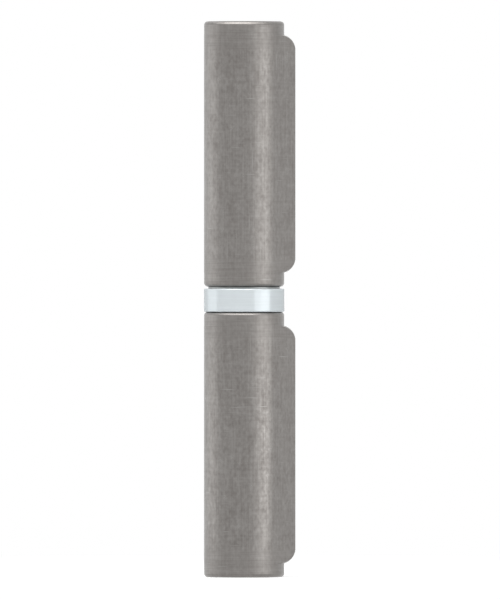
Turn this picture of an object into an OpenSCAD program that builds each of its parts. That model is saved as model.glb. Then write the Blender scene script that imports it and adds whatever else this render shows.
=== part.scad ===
// Weld-on gate hinge with a capped thrust ball bearing.
// Origin: on the pin's axis, at the lower leaf's outer end face.
// +Z runs up the pin, +X points to the weld noses. Sizes are in millimetres.

/* [Leaves] */
// Diameter of the round barrel of each leaf
barrel_d = 26; // [24:0.5:34]
// Length of each leaf along the pin
leaf_length = 85.9; // [76:0.1:120]
// How far the weld nose stands out from the barrel
nose_height = 3.6; // [2:0.2:6]
// Radius of the nose's long outer edge
nose_edge_r = 0.9; // [0.4:0.1:2]
// Plain barrel left between each end of a leaf and its nose
nose_setback = 4.2; // [2:0.2:10]
// Radius of the turned shoulder at each end of the nose
shoulder_r = 5.2; // [3:0.2:8]
// Rounding of the barrel's end edges
end_round = 1.2; // [0.4:0.1:1.6]
// Radial cut that cleans up the barrel where its ends are turned
end_skim = 0.03; // [0.02:0.01:0.3]

/* [Pin and bores] */
// Diameter of the hinge pin
pin_d = 14; // [11:0.5:15]
// Length of pin pressed into the lower leaf
pin_seat = 45; // [30:1:60]
// Length of pin that stands in the upper leaf
pin_reach = 45; // [30:1:60]
// Radial play of the upper leaf on the pin
pin_play = 0.1; // [0.02:0.01:0.1]
// Free space left over the pin's end in the upper bore
pin_air = 5; // [2:0.5:8]
// Chamfer of the pin's pressed end
pin_chamfer = 1; // [0.4:0.1:2]
// Length of the tapered lead on the pin's free end
pin_lead = 2.5; // [1:0.5:6]
// Radial depth of that lead
pin_lead_depth = 1.2; // [0.4:0.1:2]
// Chamfer at the mouth of each bore
mouth_chamfer = 0.8; // [0.3:0.1:1.5]
// Point angle of the drill that made the bores
drill_point = 118; // [90:1:140]

/* [Thrust bearing] */
// Thickness of the cup's base
cup_base = 0.9; // [0.5:0.1:2]
// Thickness of the cup's wall
cup_wall = 1.2; // [0.8:0.1:1.6]
// Rounding of the cup's outer edges
cup_round = 0.4; // [0.2:0.1:0.6]
// Thickness of each race
race_t = 2.9; // [2:0.1:4]
// Height of the upper race that stands out of the cup
race_proud = 0.65; // [0.2:0.05:1.2]
// Chamfer of the races' edges
race_chamfer = 0.1; // [0.1:0.05:0.3]
// Radial play of both races round the pin
race_play = 0.1; // [0.05:0.05:0.3]
// Radial gap between the turning upper race and the cup
race_gap = 0.2; // [0.1:0.05:0.3]
// Radial gap between the seated lower race and the cup
race_seat_gap = 0.05; // [0.02:0.01:0.1]

/* [Balls and cage] */
// Depth of the groove in each race, as a share of the ball's diameter
groove_share = 0.25; // [0.15:0.01:0.3]
// Air between a ball and its grooves
ball_gap = 0.03; // [0.01:0.01:0.1]
// Air round a ball in its cage pocket
pocket_gap = 0.1; // [0.05:0.05:0.2]
// Metal between a pocket and each edge of the cage
cage_rim = 0.45; // [0.3:0.05:0.8]
// Least metal between two pockets
cage_web = 0.8; // [0.4:0.1:1.5]
// How far the cage's edges lie inside the races' edges
cage_inset = 0.2; // [0.1:0.05:0.3]
// Air between the cage and each race
cage_air = 0.3; // [0.1:0.05:0.4]

/* [Hidden] */
$fn = 96;
// How far a cutting shape runs past the face that it cuts
over = 1;
// How deep the flanks sink into the rounds that they run off
flank_bite = 0.001;
// How far the shoulder's tool path clears the nose's outer edge
shoulder_clear = 0.02;

barrel_r = barrel_d / 2;
end_r = barrel_r - end_skim;
nose_reach = barrel_r + nose_height;
nose_centre = nose_reach - nose_edge_r;
// Angle between +X and the line square to a flank
flank_angle = acos((barrel_r - nose_edge_r) / nose_centre);

pin_r = pin_d / 2;
upper_bore_r = pin_r + pin_play;
upper_bore_depth = pin_reach + pin_air;

cup_r = barrel_r;
cup_inner_r = cup_r - cup_wall;
race_bore_r = pin_r + race_play;
upper_race_r = cup_inner_r - race_gap;
lower_race_r = cup_inner_r - race_seat_gap;
cage_inner_r = race_bore_r + cage_inset;
cage_outer_r = upper_race_r - cage_inset;
ball_circle_r = (cage_inner_r + cage_outer_r) / 2;

// The largest ball whose pocket leaves a rim on both sides, and as many balls as fit round the cage
pocket_r = (cage_outer_r - cage_inner_r) / 2 - cage_rim;
ball_r = pocket_r - pocket_gap;
ball_count = floor(2 * PI * ball_circle_r / (2 * pocket_r + cage_web));

race_separation = 2 * ball_r * (1 - 2 * groove_share);
cage_t = race_separation - 2 * cage_air;
bearing_h = cup_base + 2 * race_t + race_separation;
cup_h = bearing_h - race_proud;
pin_length = pin_seat + bearing_h + pin_reach;

// Heights of the seats, from the lower end up
bearing_z = leaf_length;
lower_race_z = bearing_z + cup_base;
ball_z = lower_race_z + race_t + race_separation / 2;
upper_leaf_z = bearing_z + bearing_h;

steel = [0.52, 0.51, 0.49];
ground_steel = [0.66, 0.67, 0.68];
zinc = [0.84, 0.88, 0.9];
brass = [0.78, 0.63, 0.33];

function ball_name(i) = str("ball_", i < 10 ? "0" : "", i);

// Drop-shaped section of the drawn bar: a round barrel whose flat flanks run out to the weld nose
module bar_section() {
    bite_r = barrel_r - flank_bite;
    bite_edge_r = nose_edge_r - flank_bite;
    square_to_flank = [cos(flank_angle), sin(flank_angle)];
    on_barrel = bite_r * square_to_flank;
    on_nose = [nose_centre, 0] + bite_edge_r * square_to_flank;
    circle(barrel_r);
    translate([nose_centre, 0]) circle(nose_edge_r);
    polygon([on_barrel, [on_barrel.x, -on_barrel.y], [on_nose.x, -on_nose.y], on_nose]);
}

// Half section of a round bar, with both outer corners rounded
module rounded_half(radius, height, corner) {
    square([radius - corner, height]);
    translate([0, corner]) square([radius, height - 2 * corner]);
    for (z = [corner, height - corner]) translate([radius - corner, z]) circle(corner);
}

// What the lathe leaves of the bar: plain round ends, and a round shoulder at each end of the nose
module turned_envelope() {
    rotate_extrude() {
        rounded_half(end_r, leaf_length, end_round);
        translate([0, nose_setback])
            rounded_half(nose_reach + shoulder_clear, leaf_length - 2 * nose_setback, shoulder_r);
    }
}

// Blind hole with its mouth at z = 0, drilled down -Z
module blind_bore(radius, depth) {
    point_depth = radius / tan(drill_point / 2);
    rotate_extrude() polygon([
        [0, over],
        [radius + mouth_chamfer + over, over],
        [radius, -mouth_chamfer],
        [radius, -depth],
        [0, -depth - point_depth]
    ]);
}

// One leaf on its outer end, bored from the top
module leaf(bore_r, bore_depth) {
    difference() {
        intersection() {
            linear_extrude(leaf_length) bar_section();
            turned_envelope();
        }
        translate([0, 0, leaf_length]) blind_bore(bore_r, bore_depth);
    }
}

module lower_leaf() {
    color(steel) leaf(pin_r, pin_seat);
}

// The same leaf turned over, so its nose points the same way and its bore opens down
module upper_leaf() {
    color(steel)
        translate([0, 0, upper_leaf_z + leaf_length]) rotate([180, 0, 0]) leaf(upper_bore_r, upper_bore_depth);
}

module hinge_pin() {
    color(ground_steel) translate([0, 0, bearing_z - pin_seat]) rotate_extrude() polygon([
        [0, 0],
        [pin_r - pin_chamfer, 0],
        [pin_r, pin_chamfer],
        [pin_r, pin_length - pin_lead],
        [pin_r - pin_lead_depth, pin_length],
        [0, pin_length]
    ]);
}

// Zinc-plated cup that holds the bearing together and closes it against dirt
module bearing_cup() {
    color(zinc) translate([0, 0, bearing_z]) rotate_extrude() difference() {
        rounded_half(cup_r, cup_h, cup_round);
        translate([0, cup_base]) square([cup_inner_r, cup_h]);
        translate([0, -over]) square([race_bore_r, cup_h]);
    }
}

// A washer with its ball groove cut in the top
module race(radius) {
    color(ground_steel) rotate_extrude() difference() {
        polygon([
            [race_bore_r + race_chamfer, 0],
            [radius - race_chamfer, 0],
            [radius, race_chamfer],
            [radius, race_t - race_chamfer],
            [radius - race_chamfer, race_t],
            [race_bore_r + race_chamfer, race_t],
            [race_bore_r, race_t - race_chamfer],
            [race_bore_r, race_chamfer]
        ]);
        translate([ball_circle_r, race_t + race_separation / 2]) circle(ball_r + ball_gap);
    }
}

module lower_race() {
    translate([0, 0, lower_race_z]) race(lower_race_r);
}

module upper_race() {
    translate([0, 0, upper_leaf_z]) rotate([180, 0, 0]) race(upper_race_r);
}

// Places its children at ball number i, the first of which lies towards the noses
module at_ball(i) {
    rotate([0, 0, (i - 1) * 360 / ball_count]) translate([ball_circle_r, 0, 0]) children();
}

// Flat ring with a round pocket for each ball
module ball_cage() {
    color(brass) translate([0, 0, ball_z - cage_t / 2]) linear_extrude(cage_t) difference() {
        circle(cage_outer_r);
        circle(cage_inner_r);
        for (i = [1:ball_count]) at_ball(i) circle(pocket_r);
    }
}

module ball(i) {
    color(ground_steel) translate([0, 0, ball_z]) at_ball(i) sphere(ball_r);
}

lower_leaf();
hinge_pin();
bearing_cup();
lower_race();
ball_cage();
upper_race();
upper_leaf();
for (i = [1:ball_count]) ball(i);
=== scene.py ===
import math

import bmesh
import bpy
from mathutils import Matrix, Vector


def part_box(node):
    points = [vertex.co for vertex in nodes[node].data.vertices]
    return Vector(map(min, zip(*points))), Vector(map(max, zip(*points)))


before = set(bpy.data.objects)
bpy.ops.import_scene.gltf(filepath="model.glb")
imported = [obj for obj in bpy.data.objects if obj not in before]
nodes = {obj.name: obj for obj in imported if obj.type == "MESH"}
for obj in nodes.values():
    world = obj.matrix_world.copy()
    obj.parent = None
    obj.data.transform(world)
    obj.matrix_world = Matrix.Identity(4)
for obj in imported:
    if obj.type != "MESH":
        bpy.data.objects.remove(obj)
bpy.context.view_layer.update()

# The lower leaf, which is welded to the post. It is cut from drop-shaped bar of mild steel that was
# cold drawn through a die, so fine marks run along it. A lathe then turned both ends round and
# rounded the ends of the weld nose. It is left bare for welding, with a thin film of oil.
MM = 0.001
TURNED_LENGTH = 9.4 * MM
TURNED_FADE = 0.8 * MM
MARK_DEPTH = 0.0035 * MM

# How many marks of each kind a metre holds, across the bar twice and then along it. After that, how
# many finer layers lie over them, how strong each layer is, and how far the clouds are bent.
GRAIN, GRAIN_LAYERS, GRAIN_ROUGH = (1000, 1000, 760), 5.0, 0.55
CLOUDS, CLOUD_LAYERS, CLOUD_ROUGH, CLOUD_BEND = (330, 330, 210), 3.0, 0.5, 0.4
DIE_LINES, DIE_LINE_LAYERS, DIE_LINE_ROUGH = (1700, 1700, 60), 3.0, 0.6
CROSS_LINES, CROSS_LINE_LAYERS, CROSS_LINE_ROUGH = (90, 90, 1100), 3.0, 0.55
LATHE_RINGS, RING_LAYERS, RING_ROUGH = (60, 60, 2400), 3.0, 0.6
LONG_SCRATCHES = (3000, 3000, 55)
CROSS_SCRATCHES = (120, 120, 2600)
SCRATCH_LAYERS, SCRATCH_ROUGH = 1.0, 0.4

# Only the peaks of their noise are scratches, and the middle of the rings' noise runs from dark to light
LONG_SCRATCH_FROM, LONG_SCRATCH_FULL = 0.70, 0.80
CROSS_SCRATCH_FROM, CROSS_SCRATCH_FULL = 0.72, 0.82
RING_LOW, RING_HIGH = 0.3, 0.7

# What share each kind has in the steel's tone, and which part of their sum runs from dark to light
GRAIN_SHARE, CLOUD_SHARE, DIE_LINE_SHARE, CROSS_LINE_SHARE = 0.36, 0.24, 0.26, 0.14
TONE_LOW, TONE_HIGH = 0.373, 0.627
RING_SHARE = 0.42

STEEL_DARK = (0.1427, 0.1302, 0.1205, 1)
STEEL_LIGHT = (0.241, 0.2297, 0.2178, 1)
STEEL_SCRATCH = (0.2657, 0.2575, 0.2472, 1)
STEEL_ROUGH, ROUGH_SWING, TURNED_ROUGHER = 0.33, 0.06, 0.03
STEEL_STRETCH = 0.55
OIL_FILM, OIL_ROUGH, OIL_IOR = 0.78, 0.45, 1.5


def group(name, outputs):
    made = bpy.data.node_groups.new(name, "ShaderNodeTree")
    made.interface.new_socket("Vector", in_out="INPUT", socket_type="NodeSocketVector")
    for label in outputs:
        made.interface.new_socket(label, in_out="OUTPUT", socket_type="NodeSocketFloat")
    return made, made.nodes.new("NodeGroupInput").outputs["Vector"], made.nodes.new("NodeGroupOutput")


def add(tree, kind, inputs=None, **settings):
    node = tree.nodes.new(kind)
    for key, value in settings.items():
        setattr(node, key, value)
    for key, value in (inputs or {}).items():
        if isinstance(value, bpy.types.NodeSocket):
            tree.links.new(value, node.inputs[key])
        else:
            node.inputs[key].default_value = value
    return node


def marks_of(tree, place, per_metre, layers, rough, bend=0.0):
    stretched = add(tree, "ShaderNodeMapping", {"Vector": place, "Scale": per_metre}).outputs["Vector"]
    return add(tree, "ShaderNodeTexNoise", {
        "Vector": stretched, "Scale": 1.0, "Detail": layers, "Roughness": rough, "Distortion": bend,
    }).outputs["Fac"]


def spread(tree, value, low, high, to_low=0.0, to_high=1.0, smooth=False):
    return add(tree, "ShaderNodeMapRange", {
        "Value": value, "From Min": low, "From Max": high, "To Min": to_low, "To Max": to_high,
    }, interpolation_type="SMOOTHSTEP" if smooth else "LINEAR").outputs["Result"]


def maths(tree, operation, a, b=0.0, c=0.0):
    return add(tree, "ShaderNodeMath", {0: a, 1: b, 2: c}, operation=operation).outputs[0]


# The mix node keeps its two values at sockets 2 and 3, and its two colours at 6 and 7
def blend_values(tree, mask, a, b):
    return add(tree, "ShaderNodeMix", {0: mask, 2: a, 3: b}, data_type="FLOAT").outputs[0]


def blend_colours(tree, mask, a, b):
    return add(tree, "ShaderNodeMix", {0: mask, 6: a, 7: b}, data_type="RGBA").outputs[2]


# Marks that drawing leaves on the bar: fine lines along it over a cloudy grain, and a few light scratches
drawn_marks, place, marks_out = group("drawn_marks", ["Tone", "Scratches"])
grain = marks_of(drawn_marks, place, GRAIN, GRAIN_LAYERS, GRAIN_ROUGH)
tone = maths(drawn_marks, "MULTIPLY", grain, GRAIN_SHARE)
for marks, share in (
    (marks_of(drawn_marks, place, CLOUDS, CLOUD_LAYERS, CLOUD_ROUGH, CLOUD_BEND), CLOUD_SHARE),
    (marks_of(drawn_marks, place, DIE_LINES, DIE_LINE_LAYERS, DIE_LINE_ROUGH), DIE_LINE_SHARE),
    (marks_of(drawn_marks, place, CROSS_LINES, CROSS_LINE_LAYERS, CROSS_LINE_ROUGH), CROSS_LINE_SHARE),
):
    tone = maths(drawn_marks, "MULTIPLY_ADD", marks, share, tone)
drawn_marks.links.new(spread(drawn_marks, tone, TONE_LOW, TONE_HIGH), marks_out.inputs["Tone"])
long_ones = marks_of(drawn_marks, place, LONG_SCRATCHES, SCRATCH_LAYERS, SCRATCH_ROUGH)
long_ones = spread(drawn_marks, long_ones, LONG_SCRATCH_FROM, LONG_SCRATCH_FULL)
cross_ones = marks_of(drawn_marks, place, CROSS_SCRATCHES, SCRATCH_LAYERS, SCRATCH_ROUGH)
cross_ones = spread(drawn_marks, cross_ones, CROSS_SCRATCH_FROM, CROSS_SCRATCH_FULL)
scratches = maths(drawn_marks, "MAXIMUM", long_ones, cross_ones)
drawn_marks.links.new(scratches, marks_out.inputs["Scratches"])

# Rings that a lathe leaves round the axis, where Z runs along it
turned_marks, place, rings_out = group("turned_marks", ["Rings"])
rings = marks_of(turned_marks, place, LATHE_RINGS, RING_LAYERS, RING_ROUGH)
rings = spread(turned_marks, rings, RING_LOW, RING_HIGH)
turned_marks.links.new(rings, rings_out.inputs["Rings"])


def new_material(name):
    material = bpy.data.materials.new(name)
    material.use_nodes = True
    tree = material.node_tree
    return material, tree, tree.nodes["Principled BSDF"], add(tree, "ShaderNodeTexCoord").outputs["Object"]


def drawn_steel(name, leaf):
    low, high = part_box(leaf)
    turned_from = (high.z - low.z) / 2 - TURNED_LENGTH
    material, tree, shader, place = new_material(name)
    marks = add(tree, "ShaderNodeGroup", {"Vector": place}, node_tree=drawn_marks).outputs
    rings = add(tree, "ShaderNodeGroup", {"Vector": place}, node_tree=turned_marks).outputs

    # The lathe's rings show on the ends alone
    height = add(tree, "ShaderNodeSeparateXYZ", {"Vector": place}).outputs["Z"]
    from_middle = maths(tree, "ABSOLUTE", maths(tree, "SUBTRACT", height, (low.z + high.z) / 2))
    turned = spread(tree, from_middle, turned_from, turned_from + TURNED_FADE)
    tone = blend_values(tree, maths(tree, "MULTIPLY", turned, RING_SHARE), marks["Tone"], rings["Rings"])

    colour = blend_colours(tree, tone, STEEL_DARK, STEEL_LIGHT)
    colour = blend_colours(tree, marks["Scratches"], colour, STEEL_SCRATCH)
    tree.links.new(colour, shader.inputs["Base Color"])
    rough = spread(tree, tone, 0, 1, STEEL_ROUGH + ROUGH_SWING, STEEL_ROUGH - ROUGH_SWING)
    rough = maths(tree, "MULTIPLY_ADD", turned, TURNED_ROUGHER, rough)
    tree.links.new(rough, shader.inputs["Roughness"])
    shader.inputs["Metallic"].default_value = 1.0
    shader.inputs["Anisotropic"].default_value = STEEL_STRETCH
    shader.inputs["Coat Weight"].default_value = OIL_FILM
    shader.inputs["Coat Roughness"].default_value = OIL_ROUGH
    shader.inputs["Coat IOR"].default_value = OIL_IOR
    tangent = add(tree, "ShaderNodeTangent", direction_type="RADIAL", axis="Z")
    tree.links.new(tangent.outputs[0], shader.inputs["Tangent"])
    bump = add(tree, "ShaderNodeBump", {"Height": tone, "Strength": 1.0, "Distance": MARK_DEPTH})
    tree.links.new(bump.outputs["Normal"], shader.inputs["Normal"])
    return material


def finish_node(name, material):
    target = nodes[name]
    if not target.material_slots:
        target.data.materials.append(material)
    for held in target.material_slots:
        held.material = material


finish_node("lower_leaf", drawn_steel("drawn_bar_lower", "lower_leaf"))

# The hinge pin, a ground steel rod pressed into the lower leaf. Its free end is turned to a taper, so
# that the upper leaf drops over it.
PIN_GREY, PIN_ROUGH, PIN_RINGS = (0.38, 0.38, 0.37), 0.31, 0.035
EDGE_SHINE = 0.0
ROUGH_PER_TONE = 2


def plain_metal(name, colour, roughness, ring_depth, metallic=1.0):
    material, tree, shader, place = new_material(name)
    rings = add(tree, "ShaderNodeGroup", {"Vector": place}, node_tree=turned_marks).outputs["Rings"]
    dark = tuple((1 - ring_depth) * c for c in colour) + (1,)
    light = tuple((1 + ring_depth) * c for c in colour) + (1,)
    tree.links.new(blend_colours(tree, rings, dark, light), shader.inputs["Base Color"])
    rough_swing = ROUGH_PER_TONE * ring_depth
    rough = spread(tree, rings, 0, 1, roughness * (1 - rough_swing), roughness * (1 + rough_swing))
    tree.links.new(rough, shader.inputs["Roughness"])
    shader.inputs["Metallic"].default_value = metallic
    shader.inputs["Specular IOR Level"].default_value = EDGE_SHINE
    return material


finish_node("hinge_pin", plain_metal("ground_pin", PIN_GREY, PIN_ROUGH, PIN_RINGS))

# The bearing cup, pressed from sheet steel and zinc plated with a clear blue tint. It holds both
# races and the balls together, and keeps the rain out of them.
ZINC, ZINC_ROUGH, ZINC_RINGS = (0.6796, 0.7309, 0.7545), 0.18, 0.035
ZINC_METAL = 0.30
finish_node("bearing_cup", plain_metal("zinc_plate", ZINC, ZINC_ROUGH, ZINC_RINGS, ZINC_METAL))

# The two races, washers turned from bearing steel with a groove for the balls, then hardened and
# ground. The lower one sits in the cup, and the upper one turns with the upper leaf.
RACE_GREY, RACE_ROUGH, RACE_RINGS = (0.2208, 0.23, 0.23), 0.30, 0.06
race_finish = plain_metal("ground_race", RACE_GREY, RACE_ROUGH, RACE_RINGS)
finish_node("lower_race", race_finish)
finish_node("upper_race", race_finish)

# The balls, polished bearing steel, and the cage that keeps them apart, a flat ring punched from
# brass sheet. The balls roll in the races' grooves and carry the cage round with them.
BALL_GREY, BALL_ROUGH, BALL_RINGS = (0.66, 0.67, 0.68), 0.06, 0.01
BRASS, BRASS_ROUGH, BRASS_RINGS = (0.70, 0.53, 0.26), 0.24, 0.05
ball_finish = plain_metal("polished_ball", BALL_GREY, BALL_ROUGH, BALL_RINGS)
for name in sorted(nodes):
    if name.startswith("ball_") and name != "ball_cage":
        finish_node(name, ball_finish)
finish_node("ball_cage", plain_metal("cage_brass", BRASS, BRASS_ROUGH, BRASS_RINGS))

# The upper leaf, which carries the gate. It is cut from the same bar as the lower one, bored to
# turn on the pin, and stands the other way up. Its end face rests on the upper race.
finish_node("upper_leaf", drawn_steel("drawn_bar_upper", "upper_leaf"))

# The studio's floor, white paper that keeps the hinge's shadow. Seen far off, in metal or
# through glass it is plain white.
WHITE = 1.0
FLOOR_RADIUS, FLOOR_DROP, FLOOR_SIDES = 3.0, 0.05 * MM, 96
FLOOR_COLOUR, FLOOR_ROUGH = (0.60, 0.60, 0.60, 1), 0.9
FLOOR_GLOW = 0.62
SHADOW_NEAR, SHADOW_FAR = 0.12, 0.45
floor_mesh = bpy.data.meshes.new("floor")
floor_shape = bmesh.new()
bmesh.ops.create_circle(floor_shape, cap_ends=True, segments=FLOOR_SIDES, radius=FLOOR_RADIUS)
bmesh.ops.translate(floor_shape, verts=floor_shape.verts, vec=(0, 0, -FLOOR_DROP))
floor_shape.to_mesh(floor_mesh)
floor_shape.free()
floor = bpy.data.objects.new("floor", floor_mesh)
bpy.context.scene.collection.objects.link(floor)

paper, tree, shader, place = new_material("floor_paper")
shader.inputs["Base Color"].default_value = FLOOR_COLOUR
shader.inputs["Roughness"].default_value = FLOOR_ROUGH
shader.inputs["Specular IOR Level"].default_value = 0.0
rays = add(tree, "ShaderNodeLightPath").outputs
seen_glow = maths(tree, "MULTIPLY", rays["Is Camera Ray"], FLOOR_GLOW)
glow = add(tree, "ShaderNodeEmission", {"Strength": seen_glow})
lit = add(tree, "ShaderNodeAddShader", {0: shader.outputs[0], 1: glow.outputs[0]})
white = add(tree, "ShaderNodeEmission", {"Strength": WHITE})
away = add(tree, "ShaderNodeVectorMath", {0: place}, operation="LENGTH").outputs["Value"]
far = spread(tree, away, SHADOW_NEAR, SHADOW_FAR, smooth=True)
far = maths(tree, "MULTIPLY", far, rays["Is Camera Ray"])
mirrored = maths(tree, "MAXIMUM", rays["Is Glossy Ray"], rays["Is Transmission Ray"])
far_or_mirrored = maths(tree, "MAXIMUM", far, mirrored)
blend = add(tree, "ShaderNodeMixShader", {0: far_or_mirrored, 1: lit.outputs[0], 2: white.outputs[0]})
tree.links.new(blend.outputs[0], tree.nodes["Material Output"].inputs["Surface"])
floor_mesh.materials.append(paper)

# The studio's room, white walls all round. They are plain white wherever they are seen or mirrored,
# and light the hinge more faintly, as the lamps are set up for it.
ROOM_LEVEL = 0.08
world = bpy.data.worlds.new("studio")
bpy.context.scene.world = world
world.use_nodes = True
tree = world.node_tree
rays = add(tree, "ShaderNodeLightPath").outputs
shown = maths(tree, "MAXIMUM", rays["Is Camera Ray"], rays["Is Glossy Ray"])
shown = maths(tree, "MAXIMUM", shown, rays["Is Transmission Ray"])
surround = tree.nodes["Background"]
surround.inputs["Color"].default_value = (1, 1, 1, 1)
tree.links.new(blend_values(tree, shown, ROOM_LEVEL, WHITE), surround.inputs["Strength"])

# The lamps: upright soft panels round the hinge, a wide soft one in front and above, and one overhead.
# Two low strips stand on the floor, and make up for what the floor hides of the side panels.
# A turn is in degrees round the hinge from the camera's side, and a level is the panel's radiance.
MIDDLE = (0, 0, 90 * MM)
SIDE_AWAY, SIDE_HEIGHT = 0.5, 0.30
STRIP_TURN, STRIP_WIDTH, STRIP_LEVEL = 54, 0.44, 0.84
CORE_TURN, CORE_WIDTH, CORE_LEVEL = 64, 0.26, 0.50
LEFT_TURN, LEFT_WIDTH, LEFT_LEVEL = -106, 0.40, 0.62
LOW_RISE, LOW_HEIGHT = -8.8, 0.024
LOW_RIGHT_TURN, LOW_RIGHT_WIDTH, LOW_RIGHT_LEVEL = 60, 0.26, 2.7
LOW_LEFT_TURN, LOW_LEFT_WIDTH, LOW_LEFT_LEVEL = -106, 0.30, 0.9
REAR_TURN, REAR_WIDTH, REAR_LEVEL = 180, 0.11, 2.4
KEY_TURN, KEY_RISE, KEY_AWAY = -18, 50, 1.0
KEY_WIDTH, KEY_HEIGHT, KEY_LEVEL = 1.5, 0.6, 3.18
TOP_TURN, TOP_RISE, TOP_AWAY = -16, 76, 1.0
TOP_WIDTH, TOP_HEIGHT, TOP_LEVEL = 2.2, 0.5, 2.60


def soft_light(name, turn_deg, rise_deg, away, width, height, level):
    turn, rise = math.radians(turn_deg), math.radians(rise_deg)
    towards = Vector((math.sin(turn) * math.cos(rise), -math.cos(turn) * math.cos(rise), math.sin(rise)))
    data = bpy.data.lights.new(name, "AREA")
    data.shape = "RECTANGLE"
    data.size, data.size_y = width, height
    data.energy = level * math.pi * width * height
    light = bpy.data.objects.new(name, data)
    light.visible_camera = False
    light.location = Vector(MIDDLE) + towards * away
    light.rotation_euler = (-towards).to_track_quat("-Z", "Y").to_euler()
    bpy.context.scene.collection.objects.link(light)


soft_light("right_strip", STRIP_TURN, 0, SIDE_AWAY, STRIP_WIDTH, SIDE_HEIGHT, STRIP_LEVEL)
soft_light("right_core", CORE_TURN, 0, SIDE_AWAY, CORE_WIDTH, SIDE_HEIGHT, CORE_LEVEL)
soft_light("left_panel", LEFT_TURN, 0, SIDE_AWAY, LEFT_WIDTH, SIDE_HEIGHT, LEFT_LEVEL)
soft_light("low_right", LOW_RIGHT_TURN, LOW_RISE, SIDE_AWAY, LOW_RIGHT_WIDTH, LOW_HEIGHT, LOW_RIGHT_LEVEL)
soft_light("low_left", LOW_LEFT_TURN, LOW_RISE, SIDE_AWAY, LOW_LEFT_WIDTH, LOW_HEIGHT, LOW_LEFT_LEVEL)
soft_light("rear_strip", REAR_TURN, 0, SIDE_AWAY, REAR_WIDTH, SIDE_HEIGHT, REAR_LEVEL)
soft_light("front_key", KEY_TURN, KEY_RISE, KEY_AWAY, KEY_WIDTH, KEY_HEIGHT, KEY_LEVEL)
soft_light("top_light", TOP_TURN, TOP_RISE, TOP_AWAY, TOP_WIDTH, TOP_HEIGHT, TOP_LEVEL)

# The camera, on a stand far off with a long lens, so that the barrel's sides stay parallel in the
# picture. It is almost level with the hinge, and aimed a little beside the barrel, at the whole.
LENS_MM, SENSOR_MM = 1400, 36
VIEW_HEIGHT = 0.1940
ELEVATION = math.radians(0.3)
AIM = Vector((1.9 * MM, 0, 89.9 * MM))
SEEN_TO = 30
camera = bpy.data.objects.new("camera", bpy.data.cameras.new("camera"))
camera.data.lens = LENS_MM
camera.data.sensor_width = SENSOR_MM
camera.data.clip_end = SEEN_TO
away = LENS_MM / SENSOR_MM * VIEW_HEIGHT
camera.location = AIM + Vector((0, -math.cos(ELEVATION), math.sin(ELEVATION))) * away
camera.rotation_euler = (AIM - camera.location).to_track_quat("-Z", "Y").to_euler()
bpy.context.scene.collection.objects.link(camera)
bpy.context.scene.camera = camera
bpy.context.scene.view_settings.view_transform = "Standard"
